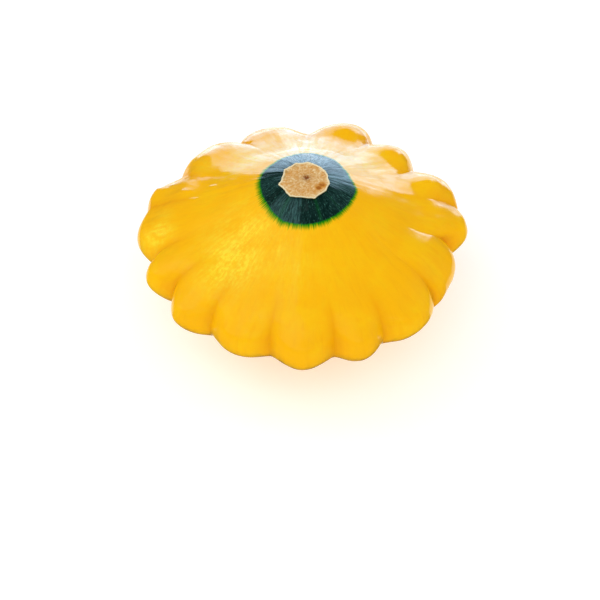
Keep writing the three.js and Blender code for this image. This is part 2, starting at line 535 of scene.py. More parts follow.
@dataclass(frozen=True)
class Flesh:
    """The yellow of the skin, with painted shade deepening it to amber in the grooves and painted
    highlights in paler lemon patches.
    """

    yellow: Colour = srgb(252, 185, 8)
    # Both the colour of the fine streaks and the painted shade in the grooves.
    amber_and_groove_shade: Colour = srgb(240, 158, 3)
    lemon: Colour = srgb(252, 201, 14)
    # The colour of the painted highlights.
    highlight_lemon: Colour = srgb(252, 220, 50)
    scar: Colour = srgb(150, 112, 62)
    broad: Mottle = Mottle(13.0, 0.35)
    broad_share: Ramp = Ramp(0.42, 0.66, 0.0, 0.5)
    lines: Streaks = Streaks(30.0, 7.0)
    line_share: Ramp = Ramp(0.5, 0.72, 0.0, 0.2)
    pores: Specks = Specks(1.2, 0.34)
    pore_share: float = 0.35
    close: Mottle = Mottle(1.5, 0.5)
    close_share: Ramp = Ramp(0.38, 0.6, 0.2, 0.75)
    drawn: Streaks = Streaks(44.0, 3.4, 17.0)
    drawn_share: Ramp = Ramp(0.4, 0.66, 0.0, 0.75)
    cloud: Mottle = Mottle(6.0, 0.4)
    cloud_share: Ramp = Ramp(0.36, 0.58, 0.25, 1.2)
    groove_shade_share: float = 0.7

    def colour(self, surface: Surface) -> Socket:
        """Colours the yellow of the skin.

        Args:
            surface: The skin.

        Returns:
            The yellow, with its painted highlights in lemon patches, its painted shade in the grooves and
            the scar at the blossom end.
        """
        graph = surface.graph
        broad = graph.ramp(surface.mottle(self.broad), self.broad_share)
        body = graph.mix(broad, self.yellow, self.lemon)
        lines = graph.ramp(surface.streaks(self.lines), self.line_share)
        body = graph.mix(lines, body, self.amber_and_groove_shade)
        pores = graph.sums("MULTIPLY", surface.specks(self.pores), self.pore_share)
        body = graph.mix(pores, body, self.lemon)
        # Painted highlight: paler lemon patches, broken up by close blotches, drawn streaks and clouds.
        close = graph.ramp(surface.mottle(self.close), self.close_share)
        drawn = graph.ramp(surface.streaks(self.drawn), self.drawn_share)
        cloud = graph.ramp(surface.mottle(self.cloud), self.cloud_share)
        broken = graph.sums("MULTIPLY", graph.sums("ADD", close, drawn), cloud)
        patch = graph.sums("MULTIPLY", graph.mask("lemon"), broken, clamp=True)
        body = graph.mix(patch, body, self.highlight_lemon)
        # Painted shade: the grooves near the rim are deepened to amber.
        groove = graph.sums("MULTIPLY", graph.mask("groove"), self.groove_shade_share)
        body = graph.mix(groove, body, self.amber_and_groove_shade)
        return graph.mix(graph.mask("scar"), body, self.scar)


@dataclass(frozen=True)
class Cap:
    """The dark cap round the stem, with painted sheen in lighter bluish-grey sectors, paler rays and fine
    dashes.
    """

    dark: Colour = srgb(4, 29, 24)
    green: Colour = srgb(14, 76, 36)
    # The lighter bluish grey of the painted sheen.
    painted_sheen: Colour = srgb(48, 80, 80)
    dash: Colour = srgb(74, 126, 114)
    dashes: Streaks = Streaks(52.0, 1.1, 3.0)
    dark_dashes: Ramp = Ramp(0.46, 0.34, 0.0, 0.8)
    pale_dashes: Ramp = Ramp(0.55, 0.7, 0.0, 0.6)
    threads: Streaks = Streaks(40.0, 4.0, 23.0)
    thread_share: Ramp = Ramp(0.38, 0.62, 0.25, 1.35)

    def colour(self, surface: Surface) -> Socket:
        """Colours the dark cap.

        Args:
            surface: The skin.

        Returns:
            The dark green, with all that lies on it.
        """
        graph = surface.graph
        dashes = surface.streaks(self.dashes)
        threads = graph.ramp(surface.streaks(self.threads), self.thread_share)
        # Painted sheen: lighter bluish-grey sectors of the cap, streaked by the threads.
        painted_sheen = graph.sums("MULTIPLY", graph.mask("painted_sheen"), threads, clamp=True)
        dark = graph.mix(painted_sheen, self.dark, self.painted_sheen)
        dark = graph.mix(graph.mask("ray"), dark, self.green)
        dark = graph.mix(graph.ramp(dashes, self.dark_dashes), dark, self.dark)
        return graph.mix(graph.ramp(dashes, self.pale_dashes), dark, self.dash)


@dataclass(frozen=True)
class Wax:
    """The wax on the skin, in streaks that run out from the stem and thin out underneath."""

    roughness: float = 0.12
    ior: float = 1.36
    fine: Streaks = Streaks(42.0, 3.0, 41.0)
    fine_share: Ramp = Ramp(0.36, 0.64, 0.1, 1.0)
    long: Streaks = Streaks(20.0, 16.0, 53.0)
    long_share: Ramp = Ramp(0.36, 0.6, 0.35, 1.0)
    cloud: Mottle = Mottle(9.0, 0.4)
    cloud_share: Ramp = Ramp(0.34, 0.6, 0.4, 1.0)
    cap_edge: Ramp = Ramp(-1.0, 1.0)
    thinning: Ramp = Ramp(6.0, 32.0)

    def weight(self, surface: Surface, past: Socket) -> Socket:
        """Lays the wax on.

        Args:
            surface: The skin.
            past: How far the place lies outside the cap, in millimetres.

        Returns:
            How thickly the wax lies.
        """
        graph = surface.graph
        on_cap = graph.ramp(surface.streaks(self.fine), self.fine_share)
        long = graph.ramp(surface.streaks(self.long), self.long_share)
        cloud = graph.ramp(surface.mottle(self.cloud), self.cloud_share)
        on_flesh = graph.sums("MULTIPLY", long, cloud)
        laid = graph.between(graph.ramp(past, self.cap_edge), on_cap, on_flesh)
        split = graph.add("ShaderNodeSeparateXYZ")
        graph.feed(split.inputs["Vector"], surface.place)
        return graph.sums("MULTIPLY", laid, graph.ramp(split.outputs["Z"], self.thinning))


@dataclass(frozen=True)
class Grain:
    """The fine grain that runs out from the stem, fainter off the cap."""

    height: float = 0.16
    lines: Streaks = Streaks(34.0, 4.0, 19.0)
    line_share: float = 0.5
    pores: Mottle = Mottle(2.2, 0.5)
    pore_share: float = 0.3
    strength: Ramp = Ramp(-1.0, 1.5, 1.0, 0.45)

    def normal(self, surface: Surface, past: Socket) -> Socket:
        """Raises the grain.

        Args:
            surface: The skin.
            past: How far the place lies outside the cap, in millimetres.

        Returns:
            The skin's normal.
        """
        graph = surface.graph
        lines = graph.sums("MULTIPLY", surface.streaks(self.lines), self.line_share)
        pores = graph.sums("MULTIPLY", surface.mottle(self.pores), self.pore_share)
        return graph.feed_by_name(graph.add("ShaderNodeBump"), {
            "Height": graph.sums("ADD", lines, pores),
            "Distance": self.height * MM,
            "Strength": graph.ramp(past, self.strength),
        })


@dataclass(frozen=True)
class SkinFinish:
    """The waxy skin: yellow, with a dark green cap whose edge feathers out over it."""

    flesh: Flesh = Flesh()
    cap: Cap = Cap()
    wax: Wax = Wax()
    grain: Grain = Grain()
    fringe: Colour = srgb(24, 126, 2)
    feather: Colour = srgb(122, 152, 2)
    fine: Streaks = Streaks(56.0, 5.0, 7.0)
    fine_reach: float = 1.0
    wide: Streaks = Streaks(44.0, 9.0, 11.0)
    wide_reach: float = 3.4
    fringe_edge: Ramp = Ramp(-0.7, -0.05)
    feather_edge: Ramp = Ramp(-0.2, 0.5)
    flesh_edge: Ramp = Ramp(0.2, 1.7)
    roughness: float = 0.16
    specular: float = 0.13

    def ragged(self, graph: Graph, edge: Socket, streaks: Socket, reach: float) -> Socket:
        """Makes an edge ragged.

        Args:
            graph: The material's graph.
            edge: How far the place lies past the smooth edge, in millimetres.
            streaks: The streaks that push it in and out.
            reach: How far they push it from end to end, in millimetres.

        Returns:
            How far the place lies past the ragged edge.
        """
        push = graph.sums("MULTIPLY", graph.sums("SUBTRACT", streaks, 0.5), reach)
        return graph.sums("ADD", edge, push)

    def build(self, effects: Effects) -> bpy.types.Material:
        """Builds the skin's material.

        Args:
            effects: The shared effects.

        Returns:
            The material.
        """
        material, graph, shader = new_material("squash_skin")
        surface = Surface(graph, graph.place(), effects)
        past = graph.mask("past_cap")
        edge = self.ragged(graph, past, surface.streaks(self.fine), self.fine_reach)
        loose = self.ragged(graph, edge, surface.streaks(self.wide), self.wide_reach)
        crown = self.cap.colour(surface)
        crown = graph.mix(graph.ramp(edge, self.fringe_edge), crown, self.fringe)
        crown = graph.mix(graph.ramp(loose, self.feather_edge), crown, self.feather)
        flesh = self.flesh.colour(surface)
        graph.feed_by_name(shader, {
            "Base Color": graph.mix(graph.ramp(loose, self.flesh_edge), crown, flesh),
            "Normal": self.grain.normal(surface, past),
            "Roughness": self.roughness,
            "Specular IOR Level": self.specular,
            "Coat Weight": self.wax.weight(surface, past),
            "Coat Roughness": self.wax.roughness,
            "Coat IOR": self.wax.ior,
        })
        return material


@dataclass(frozen=True)
class CorkFinish:
    """The dried cut face of the stem, with its paler rim."""

    tan: Colour = srgb(218, 172, 106)
    pale: Colour = srgb(240, 214, 164)
    orange: Colour = srgb(206, 136, 38)
    brown: Colour = srgb(168, 98, 20)
    rim: Colour = srgb(244, 230, 190)
    side: Colour = srgb(120, 112, 48)
    grey: Colour = srgb(112, 118, 76)
    pith: Colour = srgb(142, 74, 18)
    blotches: Mottle = Mottle(2.6, 0.45)
    fibres: Streaks = Streaks(16.0, 2.2, 5.0)
    crumbs: Mottle = Mottle(0.9, 0.4)
    pores: Specks = Specks(0.9, 0.3)
    pale_crumbs: Ramp = Ramp(0.44, 0.6)
    orange_fibres: Ramp = Ramp(0.48, 0.66, 0.0, 0.5)
    orange_blotches: Ramp = Ramp(0.48, 0.62, 0.0, 0.55)
    orange_crumbs: Ramp = Ramp(0.46, 0.34, 0.0, 0.6)
    stain_breaks: Ramp = Ramp(0.7, 0.3, 0.5, 1.25)
    stain_edge: Ramp = Ramp(0.1, 0.6, 0.0, 0.85)
    stain_heart: Ramp = Ramp(0.55, 1.0)
    pith_breaks: Ramp = Ramp(0.62, 0.42, 0.8, 1.4)
    pore_share: float = 0.45
    relief: float = 0.25
    roughness: float = 0.85
    specular: float = 0.2

    def build(self, effects: Effects) -> bpy.types.Material:
        """Builds the cut stem's material.

        Args:
            effects: The shared effects.

        Returns:
            The material.
        """
        material, graph, shader = new_material("stem_cork")
        surface = Surface(graph, graph.place(), effects)
        blotches = surface.mottle(self.blotches)
        fibres = surface.streaks(self.fibres)
        crumbs = surface.mottle(self.crumbs)
        pores = graph.sums("MULTIPLY", surface.specks(self.pores), self.pore_share)
        face = graph.mix(graph.ramp(crumbs, self.pale_crumbs), self.tan, self.pale)
        face = graph.mix(graph.ramp(fibres, self.orange_fibres), face, self.orange)
        face = graph.mix(graph.ramp(blotches, self.orange_blotches), face, self.orange)
        face = graph.mix(graph.ramp(crumbs, self.orange_crumbs), face, self.orange)
        breaks = graph.ramp(blotches, self.stain_breaks)
        stain = graph.sums("MULTIPLY", graph.mask("stain"), breaks, clamp=True)
        face = graph.mix(graph.ramp(stain, self.stain_edge), face, self.orange)
        face = graph.mix(graph.ramp(stain, self.stain_heart), face, self.brown)
        face = graph.mix(pores, face, self.brown)
        face = graph.mix(graph.mask("grey"), face, self.grey)
        breaks = graph.ramp(crumbs, self.pith_breaks)
        pith = graph.sums("MULTIPLY", graph.mask("pith"), breaks, clamp=True)
        face = graph.mix(pith, face, self.pith)
        cut = graph.mix(graph.mask("rim"), face, self.rim)
        height = graph.sums("ADD", fibres, blotches)
        bump = graph.add("ShaderNodeBump")
        graph.feed_by_name(shader, {
            "Base Color": graph.mix(graph.mask("side"), cut, self.side),
            "Normal": graph.feed_by_name(bump, {"Height": height, "Distance": self.relief * MM}),
            "Roughness": self.roughness,
            "Specular IOR Level": self.specular,
        })
        return material


# --------------------------------------------------------------------------
# The fruit
# --------------------------------------------------------------------------


@dataclass(frozen=True)
class Lobe:
    """One scallop of the rim and the groove where it starts.

    groove is that groove's azimuth at the rim and bend how far it turns on its
    way up to the crown. depth is its share of the full valley at the rim, run
    how much of that it keeps further up and soft how much rounder than usual
    its bottom is. lean over 1 moves the lobe's top towards its end and reach is
    how far it stands out. Its shoulder swells by knob over the last knob_run up
    to knob_at, and the slope inside that dips by hollow, in millimetres.
    """

    groove: float
    bend: float
    depth: float
    run: float
    soft: float
    lean: float
    reach: float
    knob: float
    knob_at: float
    knob_run: float
    hollow: float


# groove, bend, depth, run, soft, lean, reach, knob, knob_at, knob_run, hollow
LOBES: tuple[Lobe, ...] = (
    Lobe(-60, 0, 0.85, 0.1, 0.4, 1, -1, 0, 55, 10, 0),
    Lobe(-34, -0.5, 0.9, 0.2, 0, 0.75, -4, 0.6, 52, 10, -1),
    Lobe(-5.2, -7, 1.35, 0.4, 0, 1, -0.3, 0, 55, 10, 0.8),
    Lobe(13, -0.8, 0.35, 0.2, 0.1, 0.76, -0.9, 3.5, 54.5, 11, -0.4),
    Lobe(38.6, -7.4, 1.2, 0.4, 0.4, 0.8, -3.7, 4.2, 53, 10.5, -1),
    Lobe(61, 0.4, 0.78, 0.7, 0.6, 0.75, 2, 2.6, 56.2, 10.5, 0.2),
    Lobe(89, -0.4, 0.83, 1, 0.2, 1.1, -1.4, 0.8, 57, 8.5, -0.5),
    Lobe(118.7, -1.6, 0.87, 0.8, 0, 0.85, -1.7, 1.7, 55.5, 11, -0.4),
    Lobe(148.2, 5.3, 0.73, 0.2, 0, 1.6, 0.9, -0.6, 58, 8.5, 0.3),
    Lobe(169.4, 0, 0.07, 0, 0, 1.05, 1.4, 0.6, 57.5, 10, 0),
    Lobe(192.4, 3, 0.74, 0.3, 0.4, 1, 0.6, 0, 55, 10, 0),
    Lobe(210.5, 2, 0.9, 0.1, 0.4, 1, 0.5, 0, 55, 10, 0),
    Lobe(233, 0, 0.85, 0.05, 0.4, 1, -1, 0, 55, 10, 0),
    Lobe(257, 0, 0.85, 0.05, 0.4, 1, 0.5, 0, 55, 10, 0),
    Lobe(281, 0, 0.85, 0.05, 0.4, 1, -0.5, 0, 55, 10, 0),
)

# Sections through the skin, from the edge of the foot to the crown: CREST runs
# down the middle of a lobe and VALLEY down a groove, point for point.
CREST: tuple[Point, ...] = (
    (12, 0), (21, 3), (31, 7.6), (42, 13.2), (52, 19.6), (59.8, 26.6), (63.9, 33.4), (63, 39.5),
    (58.6, 42.2), (51.5, 45.9), (43, 48.8), (34, 52.9), (26, 57.1), (19, 60.8), (13.2, 64.2),
    (9.4, CROWN_HEIGHT),
)
VALLEY: tuple[Point, ...] = (
    (12, 0), (20.5, 3), (30, 8.6), (39.5, 15.2), (48, 21.6), (54.4, 27), (57.4, 32), (56.4, 37.2),
    (52.6, 41.7), (47.2, 45.1), (40.6, 48.7), (33.2, 52.9), (25.8, 57.2), (19, 61), (13.2, 64.2),
    (9.4, CROWN_HEIGHT),
)


@dataclass(frozen=True)
class Outline:
    """The uneven, many-cornered outline of the cut stem."""

    corners: tuple[Point, ...] = (
        (10, 8.6), (28, 8.7), (48, 8.4), (60, 8.45), (83, 8.9), (104, 8.5), (114, 9), (134, 8.65),
        (149, 9.35), (180, 9), (190, 9.3), (199, 10.95), (217, 10.2), (229, 10.8), (240, 11.7),
        (251, 11), (277, 11.1), (287, 11.7), (319, 10.35), (342, 9.8),
    )
    even_radius: float = 9.6
    corner_round: float = 2.0
    side_hollow: float = 0.014

    def straight(self, azimuth: np.ndarray) -> np.ndarray:
        """Follows the slightly hollow sides between the corners.

        Args:
            azimuth: The azimuths to follow them at.

        Returns:
            Their distances from the axis.
        """
        place, reach = np.array(self.corners, float).T
        first = (np.searchsorted(place, azimuth % TURN, side="right") - 1) % len(place)
        last = (first + 1) % len(place)
        before = np.radians((azimuth - place[first]) % TURN)
        after = np.radians((place[last] - azimuth) % TURN)
        slant = reach[first] * np.sin(before) + reach[last] * np.sin(after)
        hollow = 1 - self.side_hollow * np.sin(np.pi * before / (before + after))
        return reach[first] * reach[last] * np.sin(before + after) / slant * hollow

    def reach(self, azimuth: np.ndarray) -> np.ndarray:
        """Returns the distance from the axis to the outline, with its corners rounded."""
        steps = self.corner_round * np.array([-1.0, -0.5, 0.0, 0.5, 1.0])
        return np.mean([self.straight(azimuth + step) for step in steps], axis=0)


@dataclass(frozen=True)
class Bump:
    """A small raised spot on the skin: its place, its half sizes and its height."""

    azimuth: float
    radius: float
    length: float
    width: float
    rise: float


@dataclass(frozen=True)
class Ray:
    """A paler ray down the cap: its azimuth, half its width and its strength."""

    azimuth: float
    width: float
    strength: float

    def cover(self, radius: np.ndarray, azimuth: np.ndarray) -> np.ndarray:
        """Returns how strongly it covers each point."""
        return self.strength * bell(arc(azimuth, self.azimuth, radius), 0.0, self.width)


@dataclass(frozen=True)
class SheenSector:
    """A stretch of the cap with painted sheen, lighter bluish grey: its two azimuths, its strength and how
    soft each azimuth is.
    """

    start: float
    end: float
    end_softness: float
    strength: float
    start_softness: float = 6.0

    def cover(self, radius: np.ndarray, azimuth: np.ndarray) -> np.ndarray:
        """Finds how strongly it covers the cap.

        Args:
            radius: The distances of the skin from the axis, which it doesn't depend on.
            azimuth: The azimuths of the skin.

        Returns:
            How strongly it covers each point.
        """
        rise = smoothstep(apart(azimuth, self.start), -self.start_softness, self.start_softness)
        fall = 1 - smoothstep(apart(azimuth, self.end), -self.end_softness, self.end_softness)
        return self.strength * rise * fall


@dataclass(frozen=True)
class HighlightPatch:
    """A painted highlight, a patch of paler lemon: its azimuth, its distance from the axis, its reach and
    its strength.
    """

    azimuth: float
    radius: float
    reach: float
    strength: float

    def cover(self, radius: np.ndarray, azimuth: np.ndarray) -> np.ndarray:
        """Returns how strongly it covers each point."""
        away = np.hypot(radius - self.radius, arc(azimuth, self.azimuth, radius))
        return self.strength * bell(away, 0.0, self.reach)


@dataclass(frozen=True)
class Unevenness:
    """One kind of unevenness: its height, the size of one lump and the seed of its noise."""

    height: float
    size: float
    seed: float

    def sample(self, points: np.ndarray) -> np.ndarray:
        """Returns how far it raises each point, in millimetres."""
        return self.height * noise_field(points, self.size, self.seed)


@dataclass
class Fruit:
    """The lobed body of the squash, from its blossom scar to the seat of the stem.

    Lengths are in millimetres. run_start, run_end, bend_start, bend_end and
    rim_band are shares of the way along a section.
    """

    lobes: tuple[Lobe, ...] = LOBES
    crest: tuple[Point, ...] = CREST
    valley: tuple[Point, ...] = VALLEY
    rim_sharpness: float = 0.8
    shoulder_softness: float = 1.3
    rim_band: float = 0.22
    run_start: float = 0.46
    run_end: float = 0.64
    bend_start: float = 0.46
    bend_end: float = 0.68
    rim_radius: float = 65.0
    fullness: float = 1.5
    knob_fall: float = 6.5
    hollow_radius: float = 44.0
    hollow_width: float = 6.0
    hollow_fullness: float = 0.8
    reach_width: float = 16.0
    rim_height: float = 33.4
    button_radius: float = 4.4
    scar_groove: tuple[Point, ...] = ((0.4, 0.4), (0.8, 0.6), (1.3, 0.3), (1.8, 0))
    foot_ring: float = 9.0
    seat_edge: float = 0.4
    columns_per_lobe: int = 36
    crowding: float = 0.07
    skin_rows: int = 170
    collar_end: float = 19.0
    collar_share: float = 0.7
    broad: Unevenness = Unevenness(0.26, 9.0, 3.1)
    close: Unevenness = Unevenness(0.06, 3.5, 17.7)
    grain: Unevenness = Unevenness(0.07, 1.0, 5.3)
    grain_lines: float = 11.0
    grain_length: float = 12.0
    wrinkles: Unevenness = Unevenness(0.16, 1.9, 61.0)
    wrinkles_start: float = 42.0
    wrinkles_end: float = 54.0
    foot_fade: float = 4.0
    lumps_start: float = 11.0
    lumps_end: float = 24.0
    bumps: tuple[Bump, ...] = (
        Bump(163.5, 49.2, 2.2, 1.2, 0.5), Bump(161, 38.2, 1.7, 0.9, 0.32), Bump(170, 44, 1.2, 0.9, 0.2),
        Bump(164.5, 30, 9, 1.4, 0.2), Bump(172, 27, 7, 1.2, 0.12), Bump(151, 40, 6, 1.6, -0.2),
        Bump(22, 48, 2.4, 1.1, 0.25), Bump(31, 41, 1.6, 0.9, 0.2), Bump(250, 52, 1.6, 1.4, 0.2),
    )
    cap_radii: tuple[Point, ...] = (
        (0, 19.3), (20, 17.9), (40, 18.8), (60, 21.4), (85, 23.6), (105, 21.2), (130, 19.2), (155, 18.6),
        (185, 17.0), (215, 17.2), (245, 19.2), (270, 19.1), (300, 18.6), (320, 18.3), (340, 18.5),
    )
    far_from_cap: float = 40.0
    feather_side: float = 225.0
    feather_wide: float = 1.3
    feather_narrow: float = 0.5
    rays: tuple[Ray, ...] = (Ray(289, 0.6, 0.65), Ray(238, 0.9, 0.4), Ray(318, 0.5, 0.25))
    # Sectors of the cap with painted sheen: start, end, end softness and strength.
    sheen_sectors: tuple[SheenSector, ...] = (
        SheenSector(165, 202, 8, 0.4), SheenSector(220, 234, 6, 0.75), SheenSector(230, 263, 1.2, 0.95),
        SheenSector(262, 312, 3, 0.1), SheenSector(312, 350, 8, 0.3), SheenSector(346, 24, 8, 0.95),
    )
    # Painted highlights in paler lemon: azimuth, distance from the axis, reach and strength.
    painted_highlights: tuple[HighlightPatch, ...] = (
        HighlightPatch(225, 39, 11, 1.0), HighlightPatch(224, 25, 6, 0.7), HighlightPatch(248, 29, 3, 0.5), HighlightPatch(187, 57, 5, 1.0),
        HighlightPatch(218, 31, 17, 0.45), HighlightPatch(262, 34, 9, 0.25), HighlightPatch(217, 28, 4, 0.9), HighlightPatch(144, 50, 5, 0.25),
        HighlightPatch(177, 54, 4, 0.3), HighlightPatch(128, 33, 10, 0.6), HighlightPatch(92, 33, 12, 0.7), HighlightPatch(50, 32, 12, 0.5),
    )
    # Painted shade in the grooves, fading in between these distances from the axis.
    groove_shade_start: float = 40.0
    groove_shade_end: float = 56.0
    scar_edge: float = 2.5
    scar_low: float = 0.5
    scar_high: float = 2.0

    def columns(self) -> tuple[np.ndarray, np.ndarray, np.ndarray]:
        """Lays out the columns of the grid, closer together near the grooves.

        Returns:
            The lobe, the share of the way across it and the azimuth of each column.
        """
        count = len(self.lobes) * self.columns_per_lobe
        index = np.arange(count)
        lobe = index // self.columns_per_lobe
        step = (index % self.columns_per_lobe) / self.columns_per_lobe
        across = step - self.crowding * np.sin(2 * np.pi * step)
        grooves = self.trait("groove")
        span = np.diff(np.append(grooves, grooves[0] + TURN))
        return lobe, across, grooves[lobe] + across * span[lobe]

    def trait(self, name: str) -> np.ndarray:
        """Returns one trait of every lobe."""
        return np.array([getattr(each, name) for each in self.lobes])

    def skin(self, lobe: np.ndarray, across: np.ndarray,
             along: np.ndarray) -> tuple[np.ndarray, np.ndarray, np.ndarray]:
        """Works out the skin between the foot and the crown.

        Args:
            lobe: The lobe of each column.
            across: The share of the way across that lobe.
            along: The rows, from 0 at the foot to 1 at the crown.

        Returns:
            The radii, the heights and the turns of azimuth, as (columns, rows).
        """
        crest = section(self.crest, along)
        valley = section(self.valley, along)
        rim = bell(along, 0.5, self.rim_band)
        after = (lobe + 1) % len(self.lobes)
        groove = np.where(across < 0.5, lobe, after)
        exponent = (self.rim_sharpness * rim + self.shoulder_softness * (1 - rim))[None, :]
        exponent = exponent + self.trait("soft")[groove][:, None]
        swell = np.sin(np.pi * across ** self.trait("lean")[lobe])[:, None]
        settled = smoothstep(along, self.run_start, self.run_end)[None, :]
        run = self.trait("run")[groove][:, None]
        depth = self.trait("depth")[groove][:, None] * (1 + (run - 1) * settled)
        share = 1 - (1 - swell ** exponent) * depth
        radius = valley[:, 0] + (crest[:, 0] - valley[:, 0]) * share
        height = valley[:, 1] + (crest[:, 1] - valley[:, 1]) * share

        full = swell ** self.fullness
        reach = self.trait("reach")[lobe][:, None]
        radius = radius + reach * full * bell(crest[:, 0], self.rim_radius, self.reach_width)
        upper = (crest[:, 1] > self.rim_height)[None, :]
        middle = self.trait("knob_at")[lobe][:, None]
        rise = smoothstep(radius, middle - self.trait("knob_run")[lobe][:, None], middle)
        fall = np.where(radius < middle, 1.0, bell(radius, middle, self.knob_fall))
        knob = self.trait("knob")[lobe][:, None] * full * rise * fall
        hollow = self.trait("hollow")[lobe][:, None] * swell ** self.hollow_fullness
        dip = hollow * bell(radius, self.hollow_radius, self.hollow_width)
        bends = self.trait("bend")
        bend = bends[lobe] + (bends[after] - bends[lobe]) * across
        turn = bend[:, None] * smoothstep(along, self.bend_start, self.bend_end)[None, :]
        return radius, height + np.where(upper, knob - dip, 0.0), turn

    def collar(self, azimuth: np.ndarray, radius: np.ndarray) -> np.ndarray:
        """Draws the crown out towards the corners of the stem, so that flat facets run down from it.

        Args:
            azimuth: The azimuths of the skin.
            radius: The distances of the skin from the axis.

        Returns:
            The share by which each distance grows.
        """
        outline = Outline()
        fade = 1 - smoothstep(radius, outline.even_radius, self.collar_end)
        return 1 + self.collar_share * (outline.reach(azimuth) / outline.even_radius - 1) * fade

    def relief(self, grid: np.ndarray, radius: np.ndarray, azimuth: np.ndarray,
               across: np.ndarray) -> np.ndarray:
        """Works out how uneven the skin is.

        Args:
            grid: The points of the smooth skin.
            radius: Their distances from the axis.
            azimuth: Their azimuths.
            across: The share of the way across its lobe of each column.

        Returns:
            How far each point stands out from the smooth skin, in millimetres.
        """
        angle = np.radians(azimuth)
        lumps = self.broad.sample(grid) + self.close.sample(grid)
        around = (np.cos(angle) * self.grain_lines, np.sin(angle) * self.grain_lines)
        grain = self.grain.sample(np.stack([*around, radius / self.grain_length], axis=-1))
        creased = (1 - np.abs(np.sin(np.pi * across))[:, None]) ** 2
        creased = creased * smoothstep(radius, self.wrinkles_start, self.wrinkles_end)
        wrinkles = creased * self.wrinkles.sample(grid)
        bumps = np.zeros_like(radius)
        for bump in self.bumps:
            sideways = bell(arc(azimuth, bump.azimuth, radius), 0.0, bump.width)
            bumps += bump.rise * bell(radius, bump.radius, bump.length) * sideways
        above = np.where(grid[:, :, 2] > self.rim_height, 1.0, 0.0)
        off_foot = smoothstep(grid[:, :, 2], 0.0, self.foot_fade)
        spread = smoothstep(radius, self.lumps_start, self.lumps_end) * lumps + grain
        return off_foot * (spread + wrinkles) + above * bumps

    def foot(self) -> list[Point]:
        """Lays out the flat foot, round the button of the blossom scar.

        Returns:
            Its rings, from the axis outwards.
        """
        button = [(0, 0), (self.button_radius / 2, 0), (self.button_radius, 0)]
        groove = [(self.button_radius + out, lift) for out, lift in self.scar_groove]
        return button + groove + [(self.foot_ring, 0)]

    def seat(self) -> list[Point]:
        """Lays out the seat that the stem stands in.

        Returns:
            Its rings, from its edge to the axis.
        """
        return [
            (SEAT_RADIUS + self.seat_edge, CROWN_HEIGHT), (SEAT_RADIUS, CROWN_HEIGHT - self.seat_edge),
            (SEAT_RADIUS, SEAT_FLOOR), (0, SEAT_FLOOR),
        ]

    def build(self, effects: Effects) -> bpy.types.Object:
        """Builds and dresses the fruit.

        Args:
            effects: The shared effects.

        Returns:
            The fruit's piece.
        """
        lobe, across, azimuth = self.columns()
        along = np.linspace(0, 1, self.skin_rows + 1)
        radius, height, turn = self.skin(lobe, across, along)
        azimuth = azimuth[:, None] + turn
        upper = height > self.rim_height
        radius = np.where(upper, radius * self.collar(azimuth, radius), radius)
        skin = turned_grid(radius, height, azimuth)
        relief = self.relief(skin, radius, azimuth, across)
        skin = skin + grid_normals(skin) * relief[:, :, None]
        foot = ring_grid(self.foot(), azimuth[:, 0])
        seat = ring_grid(self.seat(), azimuth[:, -1])
        grid = np.concatenate([foot, skin, seat], axis=1)
        piece = closed_mesh("fruit_skin", grid)
        self.dress(piece, grid, across)
        piece.data.materials.append(SkinFinish().build(effects))
        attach(piece, Body.ROOT.value)
        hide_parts("fruit")
        return piece

    def dress(self, piece: bpy.types.Object, grid: np.ndarray, across: np.ndarray) -> None:
        """Marks out the cap, the paler rays and painted sheen on it, the painted highlights, the painted
        shade in the grooves and the scar.

        Args:
            piece: The fruit's piece.
            grid: The points that it was made from.
            across: The share of the way across its lobe of each column.
        """
        radius = np.hypot(grid[:, :, 0], grid[:, :, 1])
        azimuth = np.degrees(np.arctan2(grid[:, :, 1], grid[:, :, 0])) % TURN
        above = grid[:, :, 2] > self.rim_height
        past = np.where(above, self.past_cap(radius, azimuth), self.far_from_cap)
        rays, sheen_sectors, painted_highlights = (
            np.max([spot.cover(radius, azimuth) for spot in spots], axis=0)
            for spots in (self.rays, self.sheen_sectors, self.painted_highlights)
        )
        write_mask(piece, "past_cap", past)
        write_mask(piece, "ray", rays)
        # The painted sheen on the cap.
        write_mask(piece, "painted_sheen", sheen_sectors)
        # The lemon mask is painted highlight.
        write_mask(piece, "lemon", np.where(above, painted_highlights, 0.0))
        # The groove mask is painted shade near the rim.
        shaded_groove = (1 - np.abs(np.sin(np.pi * across))[:, None]) ** 3
        outwards = smoothstep(radius, self.groove_shade_start, self.groove_shade_end)
        write_mask(piece, "groove", shaded_groove * outwards)
        low = 1 - smoothstep(grid[:, :, 2], self.scar_low, self.scar_high)
        inner = 1 - smoothstep(radius, self.button_radius, self.button_radius + self.scar_edge)
        write_mask(piece, "scar", low * inner)

    def past_cap(self, radius: np.ndarray, azimuth: np.ndarray) -> np.ndarray:
        """Works out how far the skin lies outside the cap's edge.

        Args:
            radius: The distances of the skin from the axis.
            azimuth: The azimuths of the skin.

        Returns:
            The distances, below 0 on the cap and drawn in outside it where its feathers are long.
        """
        place, reach = np.array(self.cap_radii, float).T
        edge = np.interp(azimuth, np.append(place, TURN), np.append(reach, reach[0]))
        wide = 0.5 + 0.5 * np.cos(np.radians(azimuth - self.feather_side))
        spread = self.feather_narrow + (self.feather_wide - self.feather_narrow) * wide
        return (radius - edge) / np.where(radius > edge, spread, 1.0)


# --------------------------------------------------------------------------
# The stem stub
# --------------------------------------------------------------------------


@dataclass(frozen=True)
class Mark:
    """A patch on the cut face: where its middle is, how far it reaches and how strong it is."""

    x: float
    y: float
    reach: float
    strength: float


